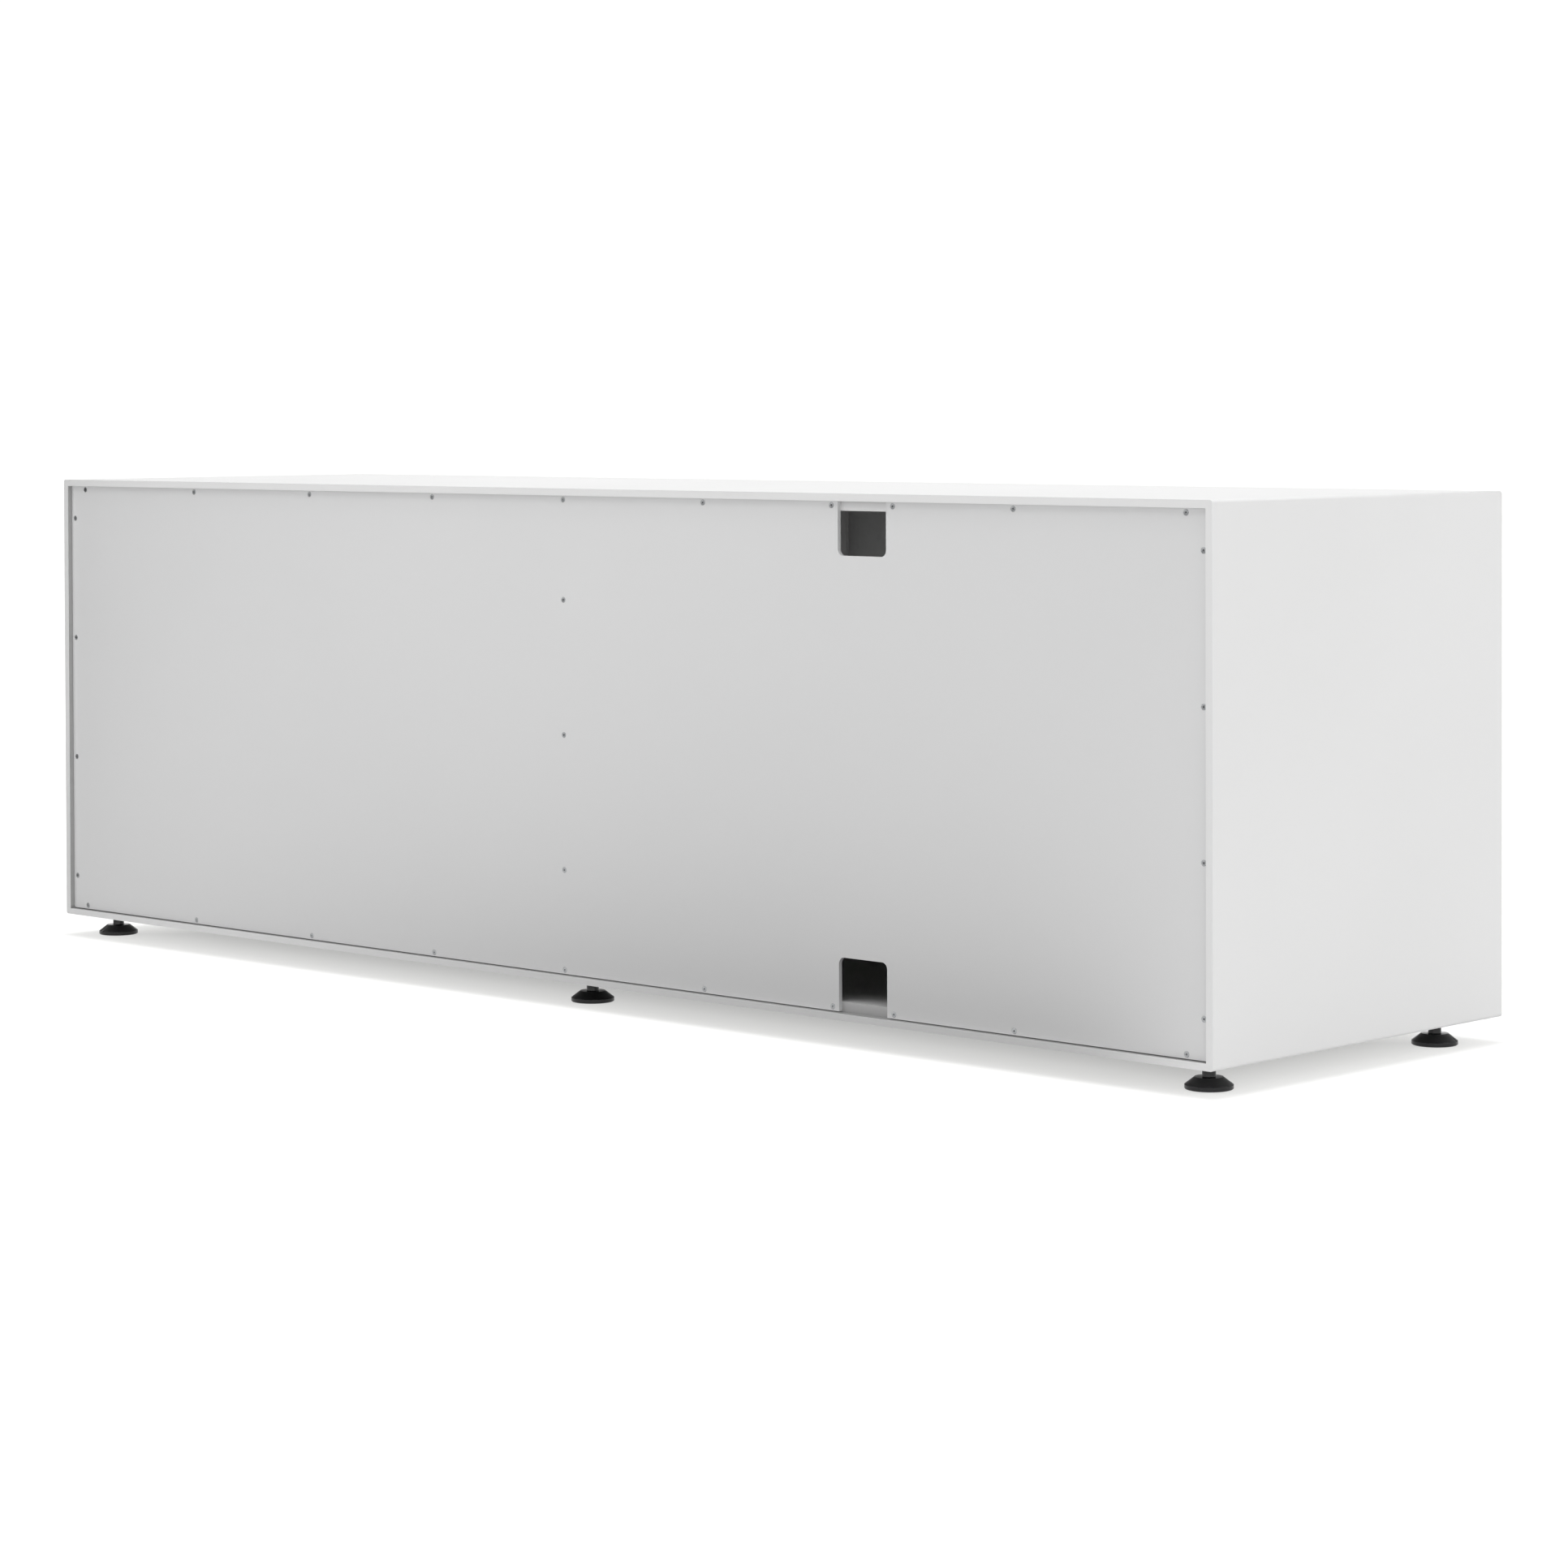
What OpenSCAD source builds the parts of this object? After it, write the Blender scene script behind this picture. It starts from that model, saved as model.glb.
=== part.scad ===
// Low media cabinet with four inset doors, on levelling feet.
// Millimetres, +Z up, front towards -Y. The origin is the middle of the
// footprint, on the floor. The case is a box of mitred panels with a recessed
// back, and everything else hangs in or on it.

/* [Case] */
// Outside width of the case
case_w = 1800; // [1600:10:2100]
// Outside depth of the case
case_d = 480; // [440:10:600]
// Outside height of the case, without the feet
case_h = 540; // [480:10:640]
// Thickness of the case panels
panel_t = 18; // [17:1:22]
// Radius of the four long outer corners
corner_r = 3; // [1:0.5:5]

/* [Back] */
// Thickness of the back panel
back_t = 4.5; // [3:0.5:6]
// How far the back panel sits inside the rear edge
back_recess = 6; // [4:0.5:10]
// Thickness of the case lip left around the back panel
lip_t = 8; // [6:0.5:10]
// Play between the back panel and the lip
back_play = 0.3; // [0.3:0.1:0.5]
// Gap under the back panel, between its lower edge and the rebate
low_gap = 0.9; // [0.3:0.1:1]
// Width of a cable cut-out
cutout_w = 67; // [50:1:90]
// Depth of a cable cut-out, measured from the lip
cutout_h = 56; // [40:1:80]
// Sideways place of the cable cut-outs
cutout_x = -445; // [-460:5:-440]
// Corner radius at the closed end of a cut-out
cutout_r = 7; // [3:1:15]

/* [Back screws] */
// Distance from the case side to the first screw along the top or bottom
screw_end = 36; // [32:1:44]
// Spacing of the screws up each side
side_pitch = 148; // [140:1:150]
// Distance from the top or underside to a screw's centre
screw_edge = 12.3; // [12.2:0.1:13]
// Distance from a case end to the screws up that side
side_edge = 15; // [14:0.5:15.5]
// Half the distance between the two screws that flank a cut-out
cutout_screw = 42.5; // [40:0.5:48]
// Head diameter of a back screw
screw_head = 6.8; // [6:0.2:6.8]
// Shank diameter of a back screw
screw_shank = 3.4; // [3:0.1:4]
// Length of a back screw
screw_len = 16; // [12:1:20]

/* [Doors] */
// Gap around and between the doors
door_gap = 3; // [3:0.5:4]
// Door thickness
door_t = 18; // [16:1:18]
// Radius on the front upright edges of a door
door_r = 1.5; // [1:0.5:3]
// Pivot line: distance from the hinge edge of the door
pivot_in = 16; // [16:0.5:20]
// Pivot line: distance behind the door's front face
pivot_back = 7; // [7:0.5:8]
// Pivot pin diameter
pin_d = 6; // [5:0.5:6]
// Length of pin held in the door
pin_in_door = 28; // [20:1:35]
// Length of pin held in the panel bush
pin_in_bush = 8; // [6:0.5:8]
// Outside diameter of the pivot bush
bush_d = 9; // [9:0.5:10]
// Flange diameter of the pivot bush
bush_flange_d = 12.5; // [12:0.5:13]

/* [Inside] */
// Set-back of the centre partition behind the door fronts
partition_set = 30; // [28:1:40]
// Height of the shelf's underside above the floor
shelf_z = 290; // [258:32:322]
// Shelf thickness
shelf_t = 18; // [16:1:20]
// Set-back of the shelves behind the door fronts
shelf_set = 42; // [36:1:80]
// Shelf pin diameter
shelf_pin_d = 5; // [5:0.5:6]
// Number of pin holes in each column
pin_holes = 5; // [3:2:7]

/* [Latches] */
// Distance from a door's free edge to its latch
latch_in = 28; // [25:1:60]
// Push stroke of the latch plunger
latch_stroke = 3; // [2:0.5:4]
// Diameter of the latch plunger
plunger_d = 8; // [7:0.5:9]
// Diameter of the strike plate on the door
strike_d = 14; // [12:0.5:16]

/* [Feet] */
// Height of the case above the floor
foot_h = 26; // [24:1:34]
// Diameter of a foot's disc
foot_d = 47.6; // [40:0.2:50]
// Height of the disc's upright rim
foot_rim = 4.8; // [3:0.1:6]
// Diameter at the top of the foot's cone
cone_d = 28; // [24:0.5:30]
// Height of the top of the cone
cone_h = 11.8; // [9:0.1:12]
// Diameter of the foot's neck
neck_d = 13.4; // [12:0.1:14]
// Distance from the case side to a foot's centre
foot_side = 42; // [35:1:60]
// Distance from the case back to a rear foot's centre
foot_rear = 48; // [40:1:70]
// Distance from the case front to a front foot's centre
foot_front = 59; // [45:1:80]

/* [Hidden] */
$fn = 64;

play = 0.05;                 // radial play of a running or push fit
half_w = case_w / 2;
half_d = case_d / 2;
z0 = foot_h;                 // underside of the case
z1 = foot_h + case_h;        // top of the case
in_x = half_w - panel_t;     // inner face of a side
in_z0 = z0 + panel_t;        // upper face of the bottom panel
in_z1 = z1 - panel_t;        // underside of the top panel
y_front = -half_d;
y_back_face = half_d - back_recess;        // outer face of the back panel
y_shoulder = y_back_face - back_t;         // face the back panel bears on

// Doors, counted from the left as seen from the front
door_w = (2 * in_x - 5 * door_gap) / 4;
door_z0 = in_z0 + door_gap;
door_z1 = in_z1 - door_gap;
function door_x0(i) = -in_x + door_gap + i * (door_w + door_gap);
// The outer doors hang on the case sides, the inner ones at the middle
function hinge_left(i) = (i == 0 || i == 2);
function pivot_x(i) = hinge_left(i) ? door_x0(i) + pivot_in
                                    : door_x0(i) + door_w - pivot_in;
function latch_x(i) = hinge_left(i) ? door_x0(i) + door_w - latch_in
                                    : door_x0(i) + latch_in;
pivot_y = y_front + pivot_back;
door_back_y = y_front + door_t;

// Latch
strike_t = 1.5;
latch_w = 14;
latch_h = 20;
latch_len = 62;
latch_z = in_z1 - 12;
latch_y0 = door_back_y + strike_t + latch_stroke + 0.5;
plunger_tip_y = door_back_y + strike_t + 0.4;
plunger_len = 34;
spring_wire = 0.6;
spring_turns = 7;
plunger_bore = 5.4;
plunger_nose = 6;
latch_chamber = plunger_len + 9;

// Feet
foot_xs = [half_w - foot_side, 0, -(half_w - foot_side)];
foot_y_rear = half_d - foot_rear;
foot_y_front = -half_d + foot_front;
insert_d = 10;
insert_len = 13;
stud_d = 8;
stud_top = foot_h + 7.5;

// Colours
lacquer = [0.93, 0.93, 0.925];
board = [0.88, 0.88, 0.875];
steel = [0.62, 0.63, 0.64];
black = [0.07, 0.07, 0.075];
nylon = [0.80, 0.80, 0.78];
grey = [0.55, 0.56, 0.57];
beech = [0.80, 0.65, 0.45];

// ---------------------------------------------------------------- helpers

// A flat outline in X and Z, drawn out along Y from y_a to y_b
module along_y(y_a, y_b) {
  translate([0, y_b, 0]) rotate([90, 0, 0]) linear_extrude(height = y_b - y_a) children();
}

// A round bar along Y from y_a to y_b
module bar_y(d, x, z, y_a, y_b) {
  translate([x, y_b, z]) rotate([90, 0, 0]) cylinder(d = d, h = y_b - y_a);
}

// A round bar along X from x_a to x_b
module bar_x(d, y, z, x_a, x_b) {
  translate([x_a, y, z]) rotate([0, 90, 0]) cylinder(d = d, h = x_b - x_a);
}

module case_outline() {
  difference() {
    translate([-half_w, z0]) square([case_w, case_h]);
    for (sx = [-1, 1], sz = [-1, 1])
      translate([sx * (half_w - corner_r), (z0 + z1) / 2 + sz * (case_h / 2 - corner_r)])
        difference() {
          translate([sx > 0 ? 0 : -corner_r - 1, sz > 0 ? 0 : -corner_r - 1])
            square([corner_r + 1, corner_r + 1]);
          circle(r = corner_r);
        }
  }
}

// Where the back panel and its screws go
rebate_z0 = z0 + lip_t - low_gap + 0.1;
module rebate() {
  translate([-half_w + lip_t, y_shoulder, rebate_z0])
    cube([case_w - 2 * lip_t, half_d - y_shoulder + 1, z1 - lip_t - rebate_z0]);
}

// Grooves of the mitre splines: a thin tongue across each mitre
spline_t = 4;
spline_w = 10;
spline_at = 6;
module splines(extra) {
  for (sx = [-1, 1], sz = [-1, 1])
    translate([sx * (in_x + spline_at), 0, sz > 0 ? in_z1 + spline_at : in_z0 - spline_at])
      rotate([0, -sx * sz * 45, 0])
        translate([-spline_t / 2 - extra, -205 - extra, -spline_w / 2 - extra])
          cube([spline_t + 2 * extra, 410 + 2 * extra, spline_w + 2 * extra]);
}

// Screw positions, as [x, z]
screw_pitch = (case_w - 2 * screw_end) / 8;
top_bottom_x = concat(
  [for (k = [-4:4]) if (abs(k * screw_pitch - cutout_x) > cutout_w / 2 + 6) k * screw_pitch],
  [cutout_x - cutout_screw, cutout_x + cutout_screw]);
side_z0 = z0 + case_h / 2 - 1.5 * side_pitch;
screw_points = concat(
  [for (x = top_bottom_x) [x, z1 - screw_edge]],
  [for (x = top_bottom_x) [x, z0 + screw_edge]],
  [for (k = [0:3], s = [-1, 1]) [s * (half_w - side_edge), side_z0 + k * side_pitch]],
  [for (k = [0:2]) [0, side_z0 + (k + 0.5) * side_pitch]]);

screw_cone = (screw_head - screw_shank) / 2;

// Pin and stud places
module pivot_bush_holes(upper) {
  for (i = [0:3])
    translate([pivot_x(i), pivot_y, upper ? in_z1 - 0.5 : in_z0 - pin_in_bush - 2.1])
      cylinder(d = bush_d + 2 * play, h = pin_in_bush + 2.6);
}

module partition_dowel_set(extra) {
  for (y = [-160, 0, 160], s = [0, 1])
    translate([0, y, s == 0 ? in_z0 - 10 - extra : in_z1 - 20 - extra])
      cylinder(d = 8 + 2 * extra, h = 30 + 2 * extra);
}

shelf_pin_y = [-150, 165];
hole_pitch = 32;
pin_z = shelf_z - shelf_pin_d / 2 - 0.02;
module shelf_pin_holes(x_a, x_b) {
  for (y = shelf_pin_y, k = [-(pin_holes - 1) / 2 : (pin_holes - 1) / 2])
    bar_x(shelf_pin_d + 2 * play, y, pin_z + k * hole_pitch, x_a, x_b);
}

// ---------------------------------------------------------------- case

module panel_wedge(upper) {
  s = upper ? 1 : -1;
  zi = upper ? in_z1 : in_z0;
  polygon([[-in_x, zi], [in_x, zi],
           [in_x + panel_t + 2, zi + s * (panel_t + 2)],
           [-in_x - panel_t - 2, zi + s * (panel_t + 2)]]);
}

module side_wedge(sx) {
  polygon([[sx * in_x, in_z0], [sx * in_x, in_z1],
           [sx * (in_x + panel_t + 2), in_z1 + panel_t + 2],
           [sx * (in_x + panel_t + 2), in_z0 - panel_t - 2]]);
}

module top_panel() {
  color(lacquer) difference() {
    along_y(y_front, half_d) intersection() { case_outline(); panel_wedge(true); }
    rebate();
    splines(play);
    for (p = screw_points) if (p[1] > z1 - screw_edge - 1)
      bar_y(screw_shank + 2 * play, p[0], p[1], y_back_face - screw_len - 0.6, half_d);
    pivot_bush_holes(true);
    partition_dowel_set(play);
    for (p = latch_screw_points()) translate([p[0], p[1], in_z1 - 1]) cylinder(d = 3 + 2 * play, h = 10.5);
  }
}

module bottom_panel() {
  color(lacquer) difference() {
    along_y(y_front, half_d) intersection() { case_outline(); panel_wedge(false); }
    rebate();
    splines(play);
    for (p = screw_points) if (p[1] < z0 + screw_edge + 1)
      bar_y(screw_shank + 2 * play, p[0], p[1], y_back_face - screw_len - 0.6, half_d);
    pivot_bush_holes(false);
    partition_dowel_set(play);
    for (x = foot_xs, y = [foot_y_rear, foot_y_front])
      translate([x, y, z0 - 1]) cylinder(d = insert_d + 2 * play, h = 17);
  }
}

module side_panel(sx) {
  color(lacquer) difference() {
    along_y(y_front, half_d) intersection() { case_outline(); side_wedge(sx); }
    rebate();
    splines(play);
    for (p = screw_points) if (p[0] * sx > half_w - side_edge - 1)
      bar_y(screw_shank + 2 * play, p[0], p[1], y_back_face - screw_len - 0.6, half_d);
    shelf_pin_holes(sx > 0 ? in_x - 1 : -in_x - 8.5, sx > 0 ? in_x + 8.5 : -in_x + 1);
  }
}

module left_side() side_panel(-1);
module right_side() side_panel(1);

// Flat outline of the back panel: a sheet with a round-cornered notch in its
// top and bottom edges
module back_outline() {
  bw = case_w - 2 * lip_t - 2 * back_play;
  bz0 = rebate_z0 + low_gap;
  bz1 = z1 - lip_t - back_play;
  difference() {
    translate([-bw / 2, bz0]) square([bw, bz1 - bz0]);
    for (s = [-1, 1]) translate([cutout_x, (z0 + z1) / 2 + s * (case_h / 2 - lip_t - cutout_h)]) {
      translate([-cutout_w / 2, s > 0 ? cutout_r : -cutout_h - 1])
        square([cutout_w, cutout_h + 1 - cutout_r]);
      translate([-cutout_w / 2 + cutout_r, s > 0 ? 0 : -cutout_r - 1])
        square([cutout_w - 2 * cutout_r, cutout_r + 1]);
      for (t = [-1, 1]) translate([t * (cutout_w / 2 - cutout_r), s * cutout_r]) circle(r = cutout_r);
    }
  }
}

module back_panel() {
  color(board) difference() {
    along_y(y_shoulder, y_back_face) back_outline();
    for (p = screw_points) {
      bar_y(screw_shank + 2 * play, p[0], p[1], y_shoulder - 1, y_back_face + 1);
      translate([p[0], y_back_face + 1, p[1]]) rotate([90, 0, 0])
        cylinder(d1 = screw_head + 2 * play + 2, d2 = screw_shank + 2 * play, h = screw_cone + 1);
    }
  }
}

module centre_partition() {
  color(lacquer) difference() {
    translate([-panel_t / 2, y_front + partition_set, in_z0])
      cube([panel_t, y_shoulder - y_front - partition_set, in_z1 - in_z0]);
    partition_dowel_set(play);
    for (p = screw_points) if (abs(p[0]) < 1 && p[1] > z0 + 30 && p[1] < z1 - 30)
      bar_y(screw_shank + 2 * play, p[0], p[1], y_back_face - screw_len - 0.6, half_d);
    shelf_pin_holes(-panel_t / 2 - 1, -panel_t / 2 + 8.5);
    shelf_pin_holes(panel_t / 2 - 8.5, panel_t / 2 + 1);
  }
}

module shelf(sx) {
  x_in = panel_t / 2 + 1;
  x_out = in_x - 1;
  color(lacquer)
    translate([sx > 0 ? x_in : -x_out, y_front + shelf_set, shelf_z])
      cube([x_out - x_in, 210 - y_front - shelf_set, shelf_t]);
}

module left_shelf() shelf(-1);
module right_shelf() shelf(1);

// A shelf pin: a short peg with a collar against the panel
module shelf_pin(x_face, dir, y) {
  translate([x_face, y, pin_z]) rotate([0, dir * 90, 0]) {
    translate([0, 0, -8]) cylinder(d = shelf_pin_d, h = 17);
    cylinder(d = shelf_pin_d + 2.5, h = 0.9);
  }
}

module shelf_pins() {
  color(steel) for (y = shelf_pin_y) {
    shelf_pin(in_x, -1, y);
    shelf_pin(panel_t / 2, 1, y);
    shelf_pin(-panel_t / 2, -1, y);
    shelf_pin(-in_x, 1, y);
  }
}

// A countersunk wood screw with its head at y_back_face, pointing to -Y
module back_screw(x, z) {
  h = screw_head / 2;
  s = screw_shank / 2;
  translate([x, y_back_face, z]) rotate([90, 0, 0]) difference() {
    rotate_extrude() polygon([[0, 0], [h, 0], [s, screw_cone],
                              [s, screw_len - 3], [0, screw_len]]);
    for (a = [0, 90]) rotate([0, 0, a])
      translate([-1.9, -0.45, -1]) cube([3.8, 0.9, 2.3]);
  }
}

module back_screws() {
  color(steel) for (p = screw_points) back_screw(p[0], p[1]);
}

module mitre_splines() {
  color(beech) splines(0);
}

module partition_dowels() {
  color(beech) partition_dowel_set(0);
}

// ---------------------------------------------------------------- pivots

// Cup bush with a thin flange; its closed end carries the pin
module pivot_bush() {
  rotate_extrude() polygon([
    [0, -pin_in_bush - 2], [bush_d / 2, -pin_in_bush - 2], [bush_d / 2, 0],
    [bush_flange_d / 2, 0], [bush_flange_d / 2, 1], [pin_d / 2 + play, 1],
    [pin_d / 2 + play, -pin_in_bush], [0, -pin_in_bush]]);
}

module pivot_bushes() {
  color(nylon) for (i = [0:3]) {
    translate([pivot_x(i), pivot_y, in_z0]) pivot_bush();
    translate([pivot_x(i), pivot_y, in_z1]) mirror([0, 0, 1]) pivot_bush();
  }
}

module door_pins(i) {
  color(steel) {
    translate([pivot_x(i), pivot_y, in_z0 - pin_in_bush + 0.02])
      cylinder(d = pin_d, h = pin_in_bush + door_gap + pin_in_door - 0.1);
    translate([pivot_x(i), pivot_y, door_z1 - pin_in_door + 0.08])
      cylinder(d = pin_d, h = pin_in_bush + door_gap + pin_in_door - 0.5);
  }
}

// ---------------------------------------------------------------- doors

module door(i) {
  x0 = door_x0(i);
  color(lacquer) difference() {
    translate([x0, y_front, door_z0]) linear_extrude(height = door_z1 - door_z0)
      difference() {
        square([door_w, door_t]);
        for (s = [0, 1]) translate([s == 0 ? door_r : door_w - door_r, door_r])
          difference() {
            translate([s == 0 ? -door_r - 1 : 0, -door_r - 1]) square([door_r + 1, door_r + 1]);
            circle(r = door_r);
          }
      }
    for (z = [door_z0 - 1, door_z1 - pin_in_door])
      translate([pivot_x(i), pivot_y, z]) cylinder(d = pin_d + 2 * play, h = pin_in_door + 1);
    bar_y(4 + 2 * play, latch_x(i), latch_z, door_back_y - 8.1, door_back_y + 1);
  }
}

// Steel strike: a disc on the door's back with a spigot pressed into the door
module strike(i) {
  color(steel) translate([latch_x(i), door_back_y, latch_z]) rotate([-90, 0, 0])
    rotate_extrude() polygon([
      [0, -8], [2, -8], [2, 0], [strike_d / 2, 0], [strike_d / 2, strike_t - 0.4],
      [strike_d / 2 - 0.4, strike_t], [0, strike_t]]);
}

module outer_left_door() door(0);
module inner_left_door() door(1);
module inner_right_door() door(2);
module outer_right_door() door(3);
module outer_left_door_pins() door_pins(0);
module inner_left_door_pins() door_pins(1);
module inner_right_door_pins() door_pins(2);
module outer_right_door_pins() door_pins(3);
module outer_left_strike() strike(0);
module inner_left_strike() strike(1);
module inner_right_strike() strike(2);
module outer_right_strike() strike(3);

// ---------------------------------------------------------------- latches

latch_tab_y = [latch_y0 + 14, latch_y0 + latch_len - 14];
function latch_screw_points() = [for (i = [0:3], k = [0, 1])
  [latch_x(i) + (k == 0 ? -1 : 1) * (latch_w / 2 + 6), latch_tab_y[k]]];

module latch_housings() {
  color(grey) for (i = [0:3]) difference() {
    union() {
      translate([latch_x(i) - latch_w / 2, latch_y0, in_z1 - latch_h])
        cube([latch_w, latch_len, latch_h]);
      for (k = [0, 1]) {
        s = k == 0 ? -1 : 1;
        translate([latch_x(i) + (s < 0 ? -latch_w / 2 - 6 : 0), latch_tab_y[k] - 6, in_z1 - 4])
          cube([latch_w / 2 + 6, 12, 4]);
        translate([latch_x(i) + s * (latch_w / 2 + 6), latch_tab_y[k], in_z1 - 4])
          cylinder(r = 6, h = 4);
      }
    }
    bar_y(plunger_d + 2 * play, latch_x(i), latch_z, latch_y0 - 1, latch_y0 + latch_chamber);
    for (k = [0, 1])
      translate([latch_x(i) + (k == 0 ? -1 : 1) * (latch_w / 2 + 6), latch_tab_y[k], in_z1 - 5])
        cylinder(d = 3 + 2 * play, h = 6);
  }
}

module latch_screws() {
  color(steel) for (p = latch_screw_points())
    translate([p[0], p[1], in_z1 - 4]) difference() {
      mirror([0, 0, 1]) rotate_extrude() polygon([
        [0, -13], [1.5, -11], [1.5, 0], [2.9, 0], [2.9, 1], [2.2, 1.8], [0, 1.8]]);
      for (a = [0, 90]) rotate([0, 0, a])
        translate([-1.6, -0.4, -2.8]) cube([3.2, 0.8, 2.2]);
    }
}

// Hollow plunger: closed nose towards the door, open at the rear for the spring
module plunger(i) {
  color(lacquer) translate([latch_x(i), plunger_tip_y, latch_z]) rotate([-90, 0, 0])
    rotate_extrude() polygon([
      [0, 0], [plunger_d / 2 - 1, 0], [plunger_d / 2, 1], [plunger_d / 2, plunger_len],
      [plunger_bore / 2, plunger_len], [plunger_bore / 2, plunger_nose], [0, plunger_nose]]);
}

// Coil spring from the plunger's nose to the closed end of the housing
spring_len = latch_y0 + latch_chamber - plunger_tip_y - plunger_nose - 0.2;
spring_r = plunger_bore / 2 - spring_wire / 2 - 0.25;
spring_steps = 12;
module latch_spring(i) {
  n = spring_turns * spring_steps;
  sides = 6;
  rise = (spring_len - spring_wire) / n;
  pts = [for (k = [0:n], j = [0:sides - 1])
    let (a = 360 * k / spring_steps, b = 360 * j / sides,
         r = spring_r + spring_wire / 2 * cos(b))
    [r * cos(a), r * sin(a), spring_wire / 2 + k * rise + spring_wire / 2 * sin(b)]];
  walls = [for (k = [0:n - 1], j = [0:sides - 1], t = [0, 1])
    let (a = k * sides + j, b = k * sides + (j + 1) % sides)
    t == 0 ? [a, a + sides, b + sides] : [a, b + sides, b]];
  color(steel)
    translate([latch_x(i), plunger_tip_y + plunger_nose + 0.1, latch_z]) rotate([-90, 0, 0])
      polyhedron(points = pts, faces = concat(walls,
        [[for (j = [0:sides - 1]) j]],
        [[for (j = [sides - 1:-1:0]) n * sides + j]]), convexity = 6);
}

module outer_left_plunger() plunger(0);
module inner_left_plunger() plunger(1);
module inner_right_plunger() plunger(2);
module outer_right_plunger() plunger(3);
module outer_left_latch_spring() latch_spring(0);
module inner_left_latch_spring() latch_spring(1);
module inner_right_latch_spring() latch_spring(2);
module outer_right_latch_spring() latch_spring(3);

// ---------------------------------------------------------------- feet

// Threaded insert in the bottom panel
module foot_bushes() {
  color(steel) for (x = foot_xs, y = [foot_y_rear, foot_y_front])
    translate([x, y, z0]) difference() {
      cylinder(d = insert_d, h = insert_len);
      translate([0, 0, -1]) cylinder(d = stud_d + 2 * play, h = insert_len + 2);
    }
}

// Moulded foot: disc with an upright rim, a cone and a short neck
module foot(x, y) {
  r = foot_d / 2;
  color(black) translate([x, y, 0]) rotate_extrude($fn = 96) polygon([
    [0, 0], [r - 0.8, 0], [r, 0.8], [r, foot_rim - 0.5], [r - 0.5, foot_rim],
    [cone_d / 2, cone_h], [neck_d / 2, cone_h], [neck_d / 2, foot_h - 8.5],
    [stud_d / 2 + 0.02, foot_h - 8.5], [stud_d / 2 + 0.02, 4], [0, 4]]);
}

// Threaded stud moulded into the foot, running up into the insert
module foot_stud(x, y) {
  color(black) translate([x, y, 4]) cylinder(d = stud_d, h = stud_top - 4);
}

module rear_left_foot() foot(foot_xs[2], foot_y_rear);
module rear_middle_foot() foot(foot_xs[1], foot_y_rear);
module rear_right_foot() foot(foot_xs[0], foot_y_rear);
module front_left_foot() foot(foot_xs[2], foot_y_front);
module front_middle_foot() foot(foot_xs[1], foot_y_front);
module front_right_foot() foot(foot_xs[0], foot_y_front);
module rear_left_foot_stud() foot_stud(foot_xs[2], foot_y_rear);
module rear_middle_foot_stud() foot_stud(foot_xs[1], foot_y_rear);
module rear_right_foot_stud() foot_stud(foot_xs[0], foot_y_rear);
module front_left_foot_stud() foot_stud(foot_xs[2], foot_y_front);
module front_middle_foot_stud() foot_stud(foot_xs[1], foot_y_front);
module front_right_foot_stud() foot_stud(foot_xs[0], foot_y_front);

// ---------------------------------------------------------------- assembly

top_panel();
bottom_panel();
left_side();
right_side();
back_panel();
centre_partition();
left_shelf();
right_shelf();
shelf_pins();
back_screws();
mitre_splines();
partition_dowels();
foot_bushes();
pivot_bushes();
latch_housings();
latch_screws();
outer_left_door();
inner_left_door();
inner_right_door();
outer_right_door();
outer_left_door_pins();
inner_left_door_pins();
inner_right_door_pins();
outer_right_door_pins();
outer_left_strike();
inner_left_strike();
inner_right_strike();
outer_right_strike();
outer_left_plunger();
inner_left_plunger();
inner_right_plunger();
outer_right_plunger();
outer_left_latch_spring();
inner_left_latch_spring();
inner_right_latch_spring();
outer_right_latch_spring();
rear_left_foot();
rear_middle_foot();
rear_right_foot();
front_left_foot();
front_middle_foot();
front_right_foot();
rear_left_foot_stud();
rear_middle_foot_stud();
rear_right_foot_stud();
front_left_foot_stud();
front_middle_foot_stud();
front_right_foot_stud();
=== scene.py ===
import math

import bmesh
import bpy
import numpy as np
from mathutils import Matrix, Vector


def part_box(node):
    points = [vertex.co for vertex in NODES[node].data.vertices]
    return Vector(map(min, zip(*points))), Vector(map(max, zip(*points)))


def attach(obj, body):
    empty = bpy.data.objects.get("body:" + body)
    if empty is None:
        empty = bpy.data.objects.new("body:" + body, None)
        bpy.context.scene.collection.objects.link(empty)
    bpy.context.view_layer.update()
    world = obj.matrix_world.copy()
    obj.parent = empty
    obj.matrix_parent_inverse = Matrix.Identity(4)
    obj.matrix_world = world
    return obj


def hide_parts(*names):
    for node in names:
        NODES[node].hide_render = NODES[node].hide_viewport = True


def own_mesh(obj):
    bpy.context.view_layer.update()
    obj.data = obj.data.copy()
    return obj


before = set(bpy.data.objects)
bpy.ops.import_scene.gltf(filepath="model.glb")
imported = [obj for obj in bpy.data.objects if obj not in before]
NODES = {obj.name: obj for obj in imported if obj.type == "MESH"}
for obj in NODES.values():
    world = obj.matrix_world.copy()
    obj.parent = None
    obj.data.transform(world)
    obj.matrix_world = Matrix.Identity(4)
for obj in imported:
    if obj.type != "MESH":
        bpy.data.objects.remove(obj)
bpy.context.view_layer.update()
MM = 0.001
scene = bpy.context.scene
rng = np.random.default_rng(7)


# ------------------------------------------------------------------ helpers

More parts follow.
